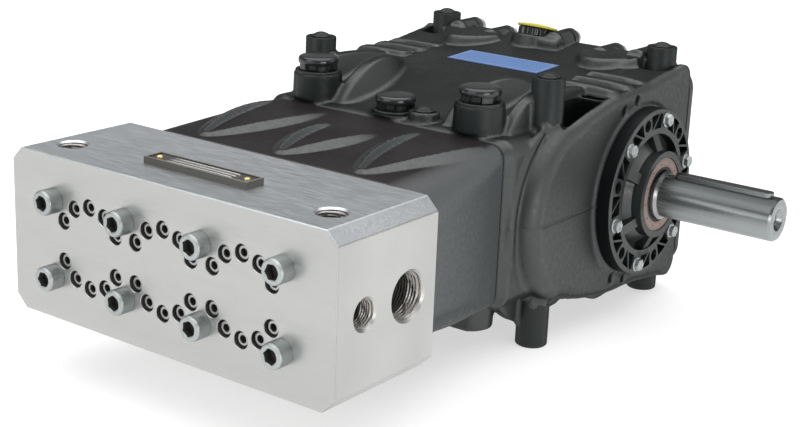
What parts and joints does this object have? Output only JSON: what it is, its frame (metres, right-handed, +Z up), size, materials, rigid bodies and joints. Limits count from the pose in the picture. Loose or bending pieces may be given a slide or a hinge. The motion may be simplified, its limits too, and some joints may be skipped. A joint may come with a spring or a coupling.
{
  "type": "plunger pump",
  "caption": "High-pressure plunger pump: steel manifold block with ports on a black cast plunger housing and crankcase, with a keyed drive shaft through a ribbed cover.",
  "frame": {"origin": "on the plane of the four feet, at the centre of their bolt rectangle", "axes": "+X along the drive shaft, out of its free end; -Y towards the manifold; +Z up"},
  "size_m": [0.4135, 0.52, 0.2189],
  "materials": {
    "stainless": "ground, fine horizontal grain",
    "zinc_steel": "satin zinc",
    "black_steel": "blackened steel, satin",
    "plate_metal": "bright rim round a dark field",
    "brass": "satin",
    "black_cast": "fine-grained cast surface, satin black paint",
    "gasket": "matte",
    "rubber": "matte",
    "black_plastic": "moulded, semi-gloss",
    "yellow_plastic": "moulded, semi-gloss",
    "label": "printed plate",
    "seal": "matte",
    "sight": "clear moulded",
    "steel": "turned, smooth"
  },
  "bodies": {
    "pump": {"manifold": "stainless", "manifold_screws_upper": "zinc_steel", "manifold_screws_lower": "zinc_steel", "set_screws_left": "zinc_steel", "set_screws_middle": "zinc_steel", "set_screws_right": "zinc_steel", "nameplate": "plate_metal", "nameplate_rivet_left": "brass", "nameplate_rivet_right": "brass", "plunger_housing": "black_cast", "joint_gasket": "gasket", "crankcase": "black_cast", "rear_cover": "black_cast", "rear_cover_bolts": "zinc_steel", "sight_glass": "sight", "drain_plug": "black_steel", "vent_ring_left": "rubber", "vent_cap_left": "black_plastic", "vent_ring_middle": "rubber", "vent_cap_middle": "black_plastic", "vent_ring_right": "rubber", "vent_cap_right": "black_plastic", "corner_boss_front_left": "black_cast", "boss_plug_front_left": "black_plastic", "corner_boss_front_right": "black_cast", "boss_plug_front_right": "black_plastic", "corner_boss_rear_left": "black_cast", "boss_plug_rear_left": "black_plastic", "corner_boss_rear_right": "black_cast", "boss_plug_rear_right": "black_plastic", "tap_boss_plug": "black_plastic", "oil_cap_body": "black_plastic", "oil_cap_top": "yellow_plastic", "label_plate": "label", "bearing_cover_right": "black_cast", "bearing_cover_left": "black_cast", "cover_screws_right": "zinc_steel", "cover_screws_left": "zinc_steel", "shaft_seal": "seal"},
    "shaft": {"drive_shaft": "steel", "shaft_key": "steel"}
  },
  "joints": [
    {"name": "shaft_spin", "type": "hinge", "parent": "pump", "child": "shaft", "pos_m": [0.2, 0.022, 0.108], "axis": [1, 0, 0], "continuous": true}
  ]
}
